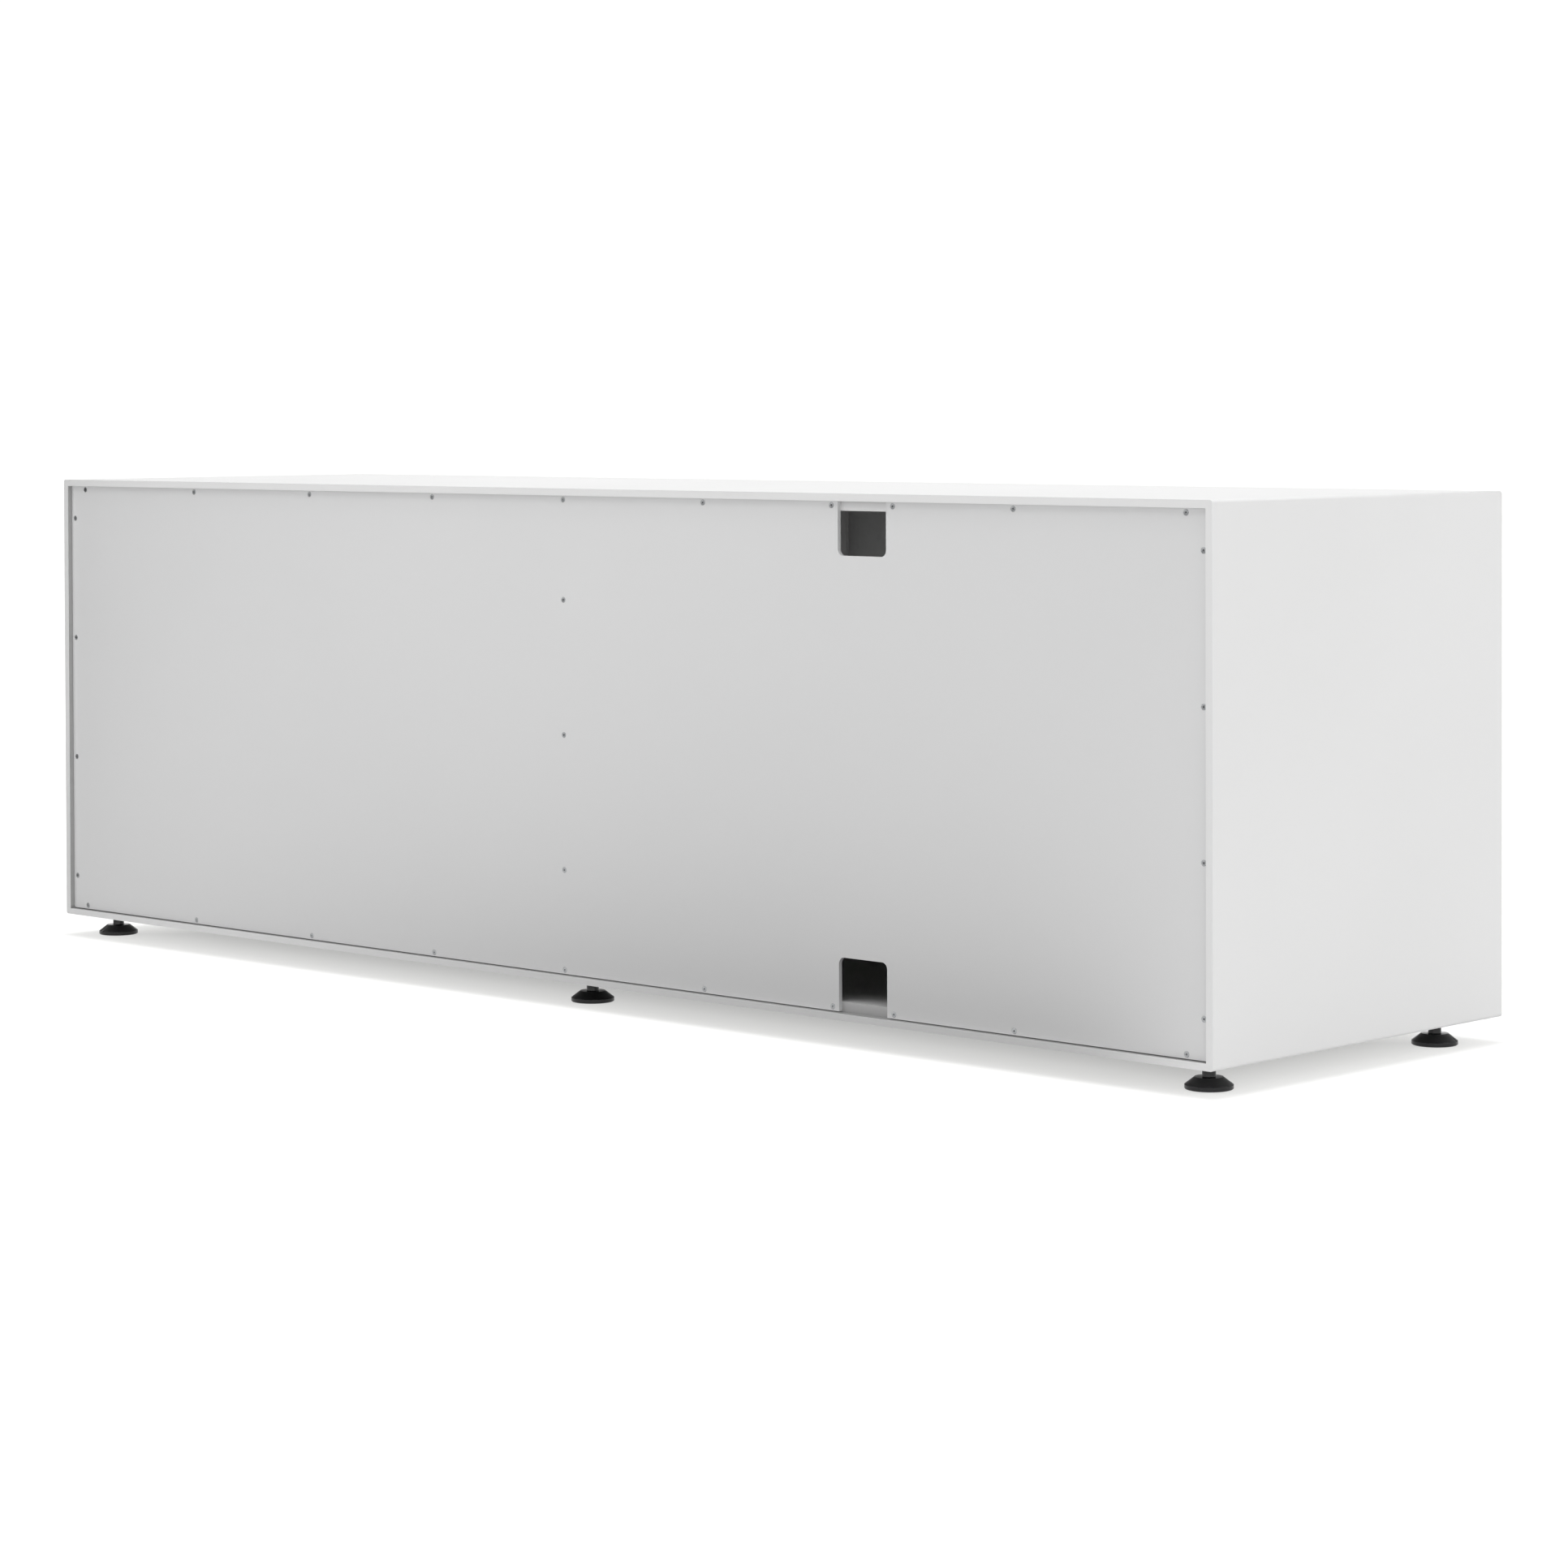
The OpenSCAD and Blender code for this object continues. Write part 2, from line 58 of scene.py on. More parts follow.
def islands(node):
    """Box of each separate solid in a CAD node, as (lowest, highest) corners."""
    me = NODES[node].data
    co = np.array([v.co for v in me.vertices], float)
    key, ids = {}, []
    for c in np.round(co, 6):
        ids.append(key.setdefault(tuple(c), len(key)))
    up = list(range(len(key)))

    def root(i):
        while up[i] != i:
            up[i] = up[up[i]]
            i = up[i]
        return i

    for p in me.polygons:
        a = root(ids[p.vertices[0]])
        for v in p.vertices[1:]:
            b = root(ids[v])
            if a != b:
                up[b] = a
    groups = {}
    for i, c in zip(ids, co):
        groups.setdefault(root(i), []).append(c)
    boxes = [(np.min(g, 0), np.max(g, 0)) for g in groups.values()]
    return sorted(boxes, key=lambda b: tuple(np.round(b[0], 4)))


def new_object(name, verts, faces, mat, body, smooth_angle=35):
    me = bpy.data.meshes.new(name)
    me.from_pydata([tuple(v) for v in verts], [], faces)
    me.validate()
    bm = bmesh.new()
    bm.from_mesh(me)
    bmesh.ops.recalc_face_normals(bm, faces=bm.faces)
    for f in bm.faces:
        f.smooth = True
    for e in bm.edges:
        if len(e.link_faces) == 2 and e.calc_face_angle(0) > math.radians(smooth_angle):
            e.smooth = False
    bm.to_mesh(me)
    bm.free()
    ob = bpy.data.objects.new(name, me)
    scene.collection.objects.link(ob)
    me.materials.append(mat)
    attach(ob, body)
    return ob


def rings_mesh(rings, closed_start=True, closed_end=True):
    """Faces that join rings of equal count, with a fan point at each end."""
    n = len(rings[0])
    verts, faces = [], []
    for r in rings:
        verts.extend(r)
    for i in range(len(rings) - 1):
        for j in range(n):
            a, b = i * n + j, i * n + (j + 1) % n
            faces.append((a, b, b + n, a + n))
    if closed_start:
        verts.append(np.mean(rings[0], axis=0))
        c = len(verts) - 1
        faces.extend((c, (j + 1) % n, j) for j in range(n))
    if closed_end:
        verts.append(np.mean(rings[-1], axis=0))
        c = len(verts) - 1
        base = (len(rings) - 1) * n
        faces.extend((c, base + j, base + (j + 1) % n) for j in range(n))
    return verts, faces


def fillet_profile(points, radii, steps=5):
    """Rounds the corners of an open (r, z) polyline."""
    pts = [np.array(p, float) for p in points]
    out = [pts[0]]
    for i in range(1, len(pts) - 1):
        rad = radii[i]
        a, b, c = pts[i - 1], pts[i], pts[i + 1]
        u, v = a - b, c - b
        lu, lv = np.linalg.norm(u), np.linalg.norm(v)
        u, v = u / lu, v / lv
        cos = float(np.clip(np.dot(u, v), -1, 1))
        half = math.acos(cos) / 2
        if rad <= 0 or half > math.radians(88):
            out.append(b)
            continue
        d = min(rad / math.tan(half), 0.45 * lu, 0.45 * lv)
        rad = d * math.tan(half)
        centre = b + (u + v) / np.linalg.norm(u + v) * (rad / math.sin(half))
        s, e = b + u * d - centre, b + v * d - centre
        a0, a1 = math.atan2(s[1], s[0]), math.atan2(e[1], e[0])
        while a1 - a0 > math.pi:
            a1 -= 2 * math.pi
        while a1 - a0 < -math.pi:
            a1 += 2 * math.pi
        for k in range(steps + 1):
            t = a0 + (a1 - a0) * k / steps
            out.append(centre + rad * np.array([math.cos(t), math.sin(t)]))
    out.append(pts[-1])
    return out


# ---------------------------------------------------------------- materials

def principled(name, base, roughness, metallic=0.0, specular=0.5, coat=0.0, coat_rough=0.1):
    mat = bpy.data.materials.new(name)
    mat.use_nodes = True
    nt = mat.node_tree
    p = nt.nodes["Principled BSDF"]
    p.inputs["Base Color"].default_value = (*base, 1)
    p.inputs["Roughness"].default_value = roughness
    p.inputs["Metallic"].default_value = metallic
    p.inputs["Specular IOR Level"].default_value = specular
    p.inputs["Coat Weight"].default_value = coat
    p.inputs["Coat Roughness"].default_value = coat_rough
    return mat, nt, p


def coords(nt, scale=(1, 1, 1)):
    tc = nt.nodes.new("ShaderNodeTexCoord")
    mp = nt.nodes.new("ShaderNodeMapping")
    mp.inputs["Scale"].default_value = scale
    nt.links.new(tc.outputs["Object"], mp.inputs["Vector"])
    return mp.outputs["Vector"]


def noise(nt, vec, scale, detail=3, rough=0.5, distortion=0.0):
    n = nt.nodes.new("ShaderNodeTexNoise")
    n.inputs["Scale"].default_value = scale
    n.inputs["Detail"].default_value = detail
    n.inputs["Roughness"].default_value = rough
    n.inputs["Distortion"].default_value = distortion
    nt.links.new(vec, n.inputs["Vector"])
    return n.outputs["Fac"]


def remap(nt, fac, lo, hi, a, b):
    m = nt.nodes.new("ShaderNodeMapRange")
    m.inputs["From Min"].default_value = lo
    m.inputs["From Max"].default_value = hi
    m.inputs["To Min"].default_value = a
    m.inputs["To Max"].default_value = b
    nt.links.new(fac, m.inputs["Value"])
    return m.outputs["Result"]


def ramp(nt, fac, stops):
    r = nt.nodes.new("ShaderNodeValToRGB")
    el = r.color_ramp.elements
    el[0].position, el[0].color = stops[0][0], (*stops[0][1], 1)
    el[1].position, el[1].color = stops[-1][0], (*stops[-1][1], 1)
    for pos, col in stops[1:-1]:
        e = el.new(pos)
        e.color = (*col, 1)
    nt.links.new(fac, r.inputs["Fac"])
    return r.outputs["Color"]


def bump(nt, height, strength, distance, normal=None):
    b = nt.nodes.new("ShaderNodeBump")
    b.inputs["Strength"].default_value = strength
    b.inputs["Distance"].default_value = distance
    nt.links.new(height, b.inputs["Height"])
    if normal is not None:
        nt.links.new(normal, b.inputs["Normal"])
    return b.outputs["Normal"]


def maths(nt, op, a, b=None):
    m = nt.nodes.new("ShaderNodeMath")
    m.operation = op
    for socket, v in zip(m.inputs, (a, b)):
        if isinstance(v, (int, float)):
            socket.default_value = v
        elif v is not None:
            nt.links.new(v, socket)
    return m.outputs["Value"]


# painted shade in the rebate: what is left of the lacquer tone on its end walls, low and high on its bottom side, and
# under its top
REBATE_PAINTED_SHADE = (0.50, 0.42, 0.66, 0.74)


def rebate_painted_shade(nt, vec):
    """1 outside the rebate around the back panel, and less in it: painted shade in its corners, on its end walls, low
    on its bottom side and under its top.
    """
    xyz = nt.nodes.new("ShaderNodeSeparateXYZ")
    nt.links.new(vec, xyz.inputs["Vector"])
    x, y, z = maths(nt, "ABSOLUTE", xyz.outputs["X"], 0), xyz.outputs["Y"], xyz.outputs["Z"]
    inside = maths(nt, "MULTIPLY", maths(nt, "GREATER_THAN", y, 0.2290), maths(nt, "LESS_THAN", y, 0.2397))
    inside = maths(nt, "MULTIPLY", inside, maths(nt, "LESS_THAN", x, 0.8925))
    inside = maths(nt, "MULTIPLY", inside, maths(nt, "GREATER_THAN", z, 0.0330))
    inside = maths(nt, "MULTIPLY", inside, maths(nt, "LESS_THAN", z, 0.5583))
    ends = remap(nt, x, 0.8880, 0.8915, 1.0, REBATE_PAINTED_SHADE[0])
    low = remap(nt, z, 0.0335, 0.0445, REBATE_PAINTED_SHADE[1], REBATE_PAINTED_SHADE[2])
    low = maths(nt, "ADD", low, maths(nt, "GREATER_THAN", z, 0.0460))
    high = remap(nt, z, 0.5505, 0.5578, 1.0, REBATE_PAINTED_SHADE[3])
    tone = maths(nt, "MINIMUM", ends, maths(nt, "MINIMUM", low, high))
    painted_shade = maths(nt, "MULTIPLY", inside, maths(nt, "SUBTRACT", 1.0, tone))
    return maths(nt, "SUBTRACT", 1.0, painted_shade)


def lacquer(name="white_satin_lacquer", rebate=False):
    """Sprayed satin lacquer: a soft orange peel, and a slow drift in tone."""
    mat, nt, p = principled(name, (0.87, 0.87, 0.868), 0.34, specular=0.5)
    vec = coords(nt)
    tone = noise(nt, vec, 2.3, 3)
    colour = ramp(nt, tone, [(0.3, (0.862, 0.862, 0.859)), (0.7, (0.882, 0.882, 0.880))])
    # with rebate set, the colour in the rebate around the back panel is darkened: painted shade
    if rebate:
        scale = nt.nodes.new("ShaderNodeVectorMath")
        scale.operation = "SCALE"
        nt.links.new(colour, scale.inputs[0])
        nt.links.new(rebate_painted_shade(nt, vec), scale.inputs["Scale"])
        colour = scale.outputs["Vector"]
    nt.links.new(colour, p.inputs["Base Color"])
    nt.links.new(remap(nt, noise(nt, vec, 9, 4), 0.3, 0.7, 0.31, 0.37), p.inputs["Roughness"])
    peel = noise(nt, vec, 260, 2, 0.4)
    grain = noise(nt, vec, 1800, 2, 0.5)
    n1 = bump(nt, peel, 0.10, 0.0003)
    nt.links.new(bump(nt, grain, 0.05, 0.0001, n1), p.inputs["Normal"])
    return mat


def board():
    """Painted thin fibreboard: rolled paint with a fine tooth, mattier than lacquer."""
    mat, nt, p = principled("painted_back_board", (0.80, 0.80, 0.80), 0.5, specular=0.45)
    vec = coords(nt)
    tone = noise(nt, vec, 1.6, 3)
    nt.links.new(ramp(nt, tone, [(0.3, (0.795, 0.796, 0.797)), (0.7, (0.815, 0.815, 0.815))]),
                 p.inputs["Base Color"])
    nt.links.new(remap(nt, noise(nt, vec, 14, 4), 0.3, 0.7, 0.45, 0.54), p.inputs["Roughness"])
    fibre = noise(nt, coords(nt, (1, 1, 0.35)), 700, 4, 0.6)
    nt.links.new(bump(nt, fibre, 0.10, 0.0002), p.inputs["Normal"])
    return mat


def zinc():
    """Zinc-plated steel: satin, a little cloudy, with fine turning marks."""
    mat, nt, p = principled("zinc_plated_steel", (0.52, 0.53, 0.54), 0.32, metallic=1.0)
    vec = coords(nt)
    cloud = noise(nt, vec, 380, 4, 0.6)
    nt.links.new(ramp(nt, cloud, [(0.3, (0.44, 0.45, 0.46)), (0.7, (0.60, 0.61, 0.62))]),
                 p.inputs["Base Color"])
    nt.links.new(remap(nt, noise(nt, vec, 900, 3), 0.3, 0.7, 0.24, 0.42), p.inputs["Roughness"])
    nt.links.new(bump(nt, noise(nt, vec, 2600, 2), 0.12, 0.00008), p.inputs["Normal"])
    return mat


def black_oxide():
    mat, nt, p = principled("black_oxide_steel", (0.035, 0.035, 0.037), 0.36, metallic=0.6)
    vec = coords(nt)
    nt.links.new(ramp(nt, noise(nt, vec, 420, 4), [(0.3, (0.022, 0.022, 0.024)), (0.7, (0.055, 0.055, 0.057))]),
                 p.inputs["Base Color"])
    nt.links.new(remap(nt, noise(nt, vec, 700, 3), 0.3, 0.7, 0.28, 0.44), p.inputs["Roughness"])
    nt.links.new(bump(nt, noise(nt, vec, 2000, 2), 0.12, 0.00008), p.inputs["Normal"])
    return mat


def black_plastic():
    """Moulded plastic with a fine spark-eroded tooth under a semi-gloss skin."""
    mat, nt, p = principled("black_moulded_plastic", (0.013, 0.013, 0.014), 0.18, specular=0.5)
    vec = coords(nt)
    nt.links.new(ramp(nt, noise(nt, vec, 60, 3), [(0.3, (0.010, 0.010, 0.011)), (0.7, (0.017, 0.017, 0.018))]),
                 p.inputs["Base Color"])
    nt.links.new(remap(nt, noise(nt, vec, 120, 4), 0.3, 0.7, 0.13, 0.22), p.inputs["Roughness"])
    nt.links.new(bump(nt, noise(nt, vec, 1500, 2), 0.06, 0.0001), p.inputs["Normal"])
    return mat


def plastic(name, base, roughness, scatter=0.0):
    mat, nt, p = principled(name, base, roughness, specular=0.5)
    vec = coords(nt)
    lo = tuple(0.95 * c for c in base)
    hi = tuple(min(1.0, 1.04 * c) for c in base)
    nt.links.new(ramp(nt, noise(nt, vec, 90, 3), [(0.3, lo), (0.7, hi)]), p.inputs["Base Color"])
    nt.links.new(remap(nt, noise(nt, vec, 260, 3), 0.3, 0.7, roughness - 0.05, roughness + 0.06),
                 p.inputs["Roughness"])
    nt.links.new(bump(nt, noise(nt, vec, 1400, 2), 0.08, 0.0001), p.inputs["Normal"])
    if scatter:
        p.inputs["Subsurface Weight"].default_value = scatter
        p.inputs["Subsurface Radius"].default_value = (0.002, 0.002, 0.002)
    return mat


def beech():
    """Bare beech: straight pores and short flecks along the grain."""
    mat, nt, p = principled("bare_beech", (0.62, 0.42, 0.24), 0.6, specular=0.3)
    vec = coords(nt, (60, 6, 60))
    grain = noise(nt, vec, 6, 6, 0.6, 0.6)
    nt.links.new(ramp(nt, grain, [(0.25, (0.46, 0.28, 0.15)), (0.5, (0.60, 0.40, 0.23)), (0.8, (0.72, 0.52, 0.33))]),
                 p.inputs["Base Color"])
    nt.links.new(remap(nt, grain, 0.3, 0.7, 0.52, 0.68), p.inputs["Roughness"])
    nt.links.new(bump(nt, grain, 0.25, 0.0003), p.inputs["Normal"])
    return mat


M_LACQUER = lacquer()
M_CASE_PAINTED_SHADE = lacquer("case_lacquer_painted_rebate_shade", True)
M_BOARD = board()
M_ZINC = zinc()
M_BLACK_STEEL = black_oxide()
M_BLACK = black_plastic()
M_NYLON = plastic("natural_nylon", (0.80, 0.80, 0.77), 0.38)
M_GREY = plastic("grey_moulded_plastic", (0.36, 0.37, 0.38), 0.42)
M_BEECH = beech()

BY_NODE = {
    "top_panel": M_CASE_PAINTED_SHADE, "bottom_panel": M_CASE_PAINTED_SHADE, "left_side": M_CASE_PAINTED_SHADE, "right_side": M_CASE_PAINTED_SHADE,
    "back_panel": M_BOARD, "shelf_pins": M_ZINC, "back_screws": M_ZINC, "latch_screws": M_ZINC,
    "foot_bushes": M_ZINC, "mitre_splines": M_BEECH, "partition_dowels": M_BEECH,
    "pivot_bushes": M_NYLON, "latch_housings": M_GREY,
}


def material_for(node):
    if node in BY_NODE:
        return BY_NODE[node]
    if node.endswith("_foot"):
        return M_BLACK
    if node.endswith("_foot_stud"):
        return M_BLACK_STEEL
    if node.endswith("_plunger"):
        return M_NYLON
    if node.endswith(("_door_pins", "_strike", "_latch_spring")):
        return M_ZINC
    return M_LACQUER


for name, ob in NODES.items():
    mats = ob.data.materials
    if not len(mats):
        mats.append(material_for(name))
    for i in range(len(mats)):
        mats[i] = material_for(name)


def soften(node, width, segments=2):
    """Breaks the sharp edges of a CAD node by a fraction of a millimetre."""
    ob = NODES[node]
    w = ob.modifiers.new("join", "WELD")
    w.merge_threshold = 1e-6
    b = ob.modifiers.new("edge", "BEVEL")
    b.width = width
    b.segments = segments
    b.limit_method = "ANGLE"
    b.angle_limit = math.radians(40)
    b.harden_normals = False
    b.use_clamp_overlap = True
    return ob


for n in ("centre_partition", "left_shelf", "right_shelf",
          "outer_left_door", "inner_left_door", "inner_right_door", "outer_right_door"):
    soften(n, 0.4 * MM)
for n in ("top_panel", "bottom_panel", "left_side", "right_side"):
    soften(n, 0.35 * MM)


# ------------------------------------------------------------------ pieces

def back_screw_mesh(turn):
    """Countersunk wood screw in millimetres: head face at 0, pointing to -Z."""
    n = 40
    verts, faces = [], []

    def ring(r, z, count=n, phase=0.0):
        a = np.arange(count) * 2 * math.pi / count + phase
        return [np.array([r * math.cos(t), r * math.sin(t), z]) for t in a]

    # outside: head rim, cone and threaded shank
    pitch, core, crest = 1.3, 1.15, 1.62
    rings = [ring(2.72, 0.0), ring(2.88, -0.03), ring(3.01, -0.10), ring(3.10, -0.21), ring(3.14, -0.36),
             ring(3.10, -0.50), ring(1.74, -1.90), ring(1.5, -2.6)]
    z = -2.6
    steps = 7
    while z > -15.2:
        z -= pitch / steps
        taper = min(1.0, (z + 16.0) / 3.2)
        rings.append([])
        for k in range(n):
            t = 2 * math.pi * k / n
            f = (z / pitch - t / (2 * math.pi)) % 1.0
            w = max(0.0, 1 - abs(f - 0.5) / 0.22)
            r = taper * (core + (crest - core) * w)
            rings[-1].append(np.array([r * math.cos(t), r * math.sin(t), z]))
    base = 0
    for i, r in enumerate(rings):
        verts.extend(r)
        if i:
            for j in range(n):
                a, b = base - n + j, base - n + (j + 1) % n
                faces.append((a, a + n, b + n, b))
        base += n
    verts.append(np.array([0, 0, -16.0]))
    tip = len(verts) - 1
    faces.extend((tip, base - n + (j + 1) % n, base - n + j) for j in range(n))

    # face of the head with a cross recess
    def cross(length, half, z, fil=0.18):
        pts = []
        for q in range(4):
            c, s = math.cos(q * math.pi / 2), math.sin(q * math.pi / 2)
            local = [(half + fil, -half), (length - fil, -half), (length, -half + fil),
                     (length, half - fil), (length - fil, half), (half + fil, half)]
            pts.extend(np.array([x * c - y * s, x * s + y * c, z]) for x, y in local)
        return pts

    bm = bmesh.new()
    outer = [bm.verts.new(v) for v in rings[0]]
    top = [bm.verts.new(v) for v in cross(1.35, 0.34, 0.0)]
    edges = [bm.edges.new((outer[i], outer[(i + 1) % n])) for i in range(n)]
    m = len(top)
    edges += [bm.edges.new((top[i], top[(i + 1) % m])) for i in range(m)]
    bmesh.ops.triangle_fill(bm, edges=edges, use_beauty=True, normal=(0, 0, 1))
    off = len(verts)
    bm.verts.index_update()
    face_v = [v.co.copy() for v in bm.verts]
    face_f = [tuple(v.index for v in f.verts) for f in bm.faces]
    bm.free()
    # drop what triangle_fill may have put inside the recess
    keep = []
    for f in face_f:
        c = sum((face_v[i] for i in f), Vector()) / len(f)
        inside = (abs(c.x) < 1.35 and abs(c.y) < 0.33) or (abs(c.y) < 1.35 and abs(c.x) < 0.33)
        if not (all(i >= n for i in f) and inside):
            keep.append(f)
    verts.extend(np.array(v) for v in face_v)
    faces.extend(tuple(off + i for i in f) for f in keep)
    low = cross(1.05, 0.26, -1.15, 0.12)
    bot = cross(0.50, 0.18, -1.9, 0.07)
    o1 = len(verts)
    verts.extend(low)
    o2 = len(verts)
    verts.extend(bot)
    verts.append(np.array([0, 0, -2.05]))
    for i in range(m):
        j = (i + 1) % m
        faces.append((off + n + i, off + n + j, o1 + j, o1 + i))
        faces.append((o1 + i, o1 + j, o2 + j, o2 + i))
        faces.append((o2 + i, o2 + j, len(verts) - 1))
    c, s = math.cos(turn), math.sin(turn)
    rot = np.array([[c, -s, 0], [s, c, 0], [0, 0, 1]])
    return [rot @ v for v in verts], faces


def merged(name, parts, mat, body, weld=1e-6, smooth_angle=35):
    verts, faces = [], []
    for v, f in parts:
        o = len(verts)
        verts.extend(v)
        faces.extend(tuple(o + i for i in q) for q in f)
    ob = new_object(name, verts, faces, mat, body, smooth_angle)
    bm = bmesh.new()
    bm.from_mesh(ob.data)
    bmesh.ops.remove_doubles(bm, verts=bm.verts, dist=weld)
    bmesh.ops.recalc_face_normals(bm, faces=bm.faces)
    bm.to_mesh(ob.data)
    bm.free()
    return ob


# back screws, each turned by its own amount
parts = []
to_y = np.array([[1, 0, 0], [0, 0, 1], [0, -1, 0]], float)   # local +Z to row +Y
for lo, hi in islands("back_screws"):
    v, f = back_screw_mesh(float(rng.uniform(0, math.pi / 2)))
    c = np.array([(lo[0] + hi[0]) / 2, hi[1], (lo[2] + hi[2]) / 2])
    parts.append(([c + MM * (to_y @ p) for p in v], f))
ob = merged("back_screw_set", parts, M_ZINC, "case", 2e-6)
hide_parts("back_screws")


def threaded_rod(radius, depth, pitch, length, n=32, steps=8):
    """Metric thread in millimetres, from 0 to length along +Z, with a chamfered end."""
    rings = []
    count = int(length / pitch * steps)
    for k in range(count + 1):
        z = length * k / count
        ring = []
        for j in range(n):
            t = 2 * math.pi * j / n
            f = (z / pitch - t / (2 * math.pi)) % 1.0
            w = min(1.0, max(0.0, (abs(f - 0.5) * 2 - 0.12) / 0.76))
            r = radius - depth * w
            end = length - z
            r = min(r, radius - 1.1 + end)
            ring.append(np.array([r * math.cos(t), r * math.sin(t), z]))
        rings.append(ring)
    return rings_mesh(rings)


for name in [n for n in NODES if n.endswith("_foot_stud")]:
    lo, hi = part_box(name)
    c = np.array([(lo.x + hi.x) / 2, (lo.y + hi.y) / 2, lo.z])
    v, f = threaded_rod((hi.x - lo.x) / 2 / MM, 0.62, 1.25, (hi.z - lo.z) / MM)
    ob = new_object(name.replace("_stud", "_thread"), [c + MM * p for p in v], f,
                    M_BLACK_STEEL, name[:-len("_stud")], 50)
    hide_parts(name)


def foot_mesh(height, radius, n=128):
    """Moulded levelling foot in millimetres, standing on z = 0."""
    s = radius / 23.8
    neck_r, neck_top = 6.7, height
    prof = fillet_profile(
        [(0, 0.35), (19.5 * s, 0.35), (20.3 * s, 0.0), (23.0 * s, 0.0), (23.8 * s, 0.8), (23.8 * s, 4.4),
         (23.2 * s, 4.85), (14.0, 11.8), (neck_r, 11.8), (neck_r, neck_top - 0.4),
         (neck_r - 0.4, neck_top), (4.03, neck_top), (4.03, 4.0), (0, 4.0)],
        [0, 0.3, 0.3, 0.3, 0.4, 0.5, 0.5, 0.55, 0.5, 0.3, 0.3, 0.1, 0.1, 0], 4)
    rings = []
    for r, z in prof[1:-1]:
        rings.append([np.array([r * math.cos(t), r * math.sin(t), z])
                      for t in np.arange(n) * 2 * math.pi / n])
    v, f = rings_mesh(rings)
    return v, f


for name in [n for n in NODES if n.endswith("_foot")]:
    lo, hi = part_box(name)
    c = np.array([(lo.x + hi.x) / 2, (lo.y + hi.y) / 2, lo.z])
    v, f = foot_mesh((hi.z - lo.z) / MM, (hi.x - lo.x) / 2 / MM)
    ob = new_object(name + "_moulding", [c + MM * p for p in v], f, M_BLACK, name, 40)
    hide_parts(name)


def coil(length, radius, wire, turns, n=10, per_turn=28):
    """Compression spring along +Z with closed end turns, in millimetres."""
    total = int(turns * per_turn)
    line = []
    flat = per_turn
    for k in range(total + 1):
        a = 2 * math.pi * k / per_turn
        u = k / total
        t0 = flat / total
        close = wire * 1.02
        if u < t0:
            z = close * u / t0
        elif u > 1 - t0:
            z = length - wire - close + close * (u - (1 - t0)) / t0
        else:
            q = (u - t0) / (1 - 2 * t0)
            z = close + (length - wire - 2 * close) * q
        line.append(np.array([radius * math.cos(a), radius * math.sin(a), z + wire / 2]))
    rings = []
    for k, p in enumerate(line):
        q0, q1 = line[max(0, k - 1)], line[min(total, k + 1)]
        t = (q1 - q0) / np.linalg.norm(q1 - q0)
        side = np.array([p[0], p[1], 0]) / radius
        up = np.cross(t, side)
        rings.append([p + wire / 2 * (math.cos(b) * side + math.sin(b) * up)
                      for b in np.arange(n) * 2 * math.pi / n])
    return rings_mesh(rings)


for name in [n for n in NODES if n.endswith("_latch_spring")]:
    lo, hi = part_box(name)
    length = (hi.y - lo.y) / MM
    outer = (hi.x - lo.x) / 2 / MM
    wire = 0.6
    v, f = coil(length, outer - wire / 2, wire, 8)
    c = np.array([(lo.x + hi.x) / 2, lo.y, (lo.z + hi.z) / 2])
    to_back = np.array([[1, 0, 0], [0, 0, 1], [0, 1, 0]], float)   # local +Z to row +Y
    ob = new_object(name.replace("_spring", "_coil"), [c + MM * (to_back @ p) for p in v], f,
                    M_ZINC, "case", 60)
    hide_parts(name)
    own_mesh(ob)


def rounded_rect(w, h, r_low, r_high, per=10):
    """Closed outline round (0, 0), from the right side upwards, as (x, z)."""
    pts = []
    for cx, cz, r, a0 in ((w / 2, h / 2, r_high, 0), (-w / 2, h / 2, r_high, 90),
                          (-w / 2, -h / 2, r_low, 180), (w / 2, -h / 2, r_low, 270)):
        ox, oz = cx - math.copysign(r, cx), cz - math.copysign(r, cz)
        for k in range(per + 1):
            a = math.radians(a0 + 90 * k / per)
            pts.append((ox + r * math.cos(a), oz + r * math.sin(a)))
    return pts


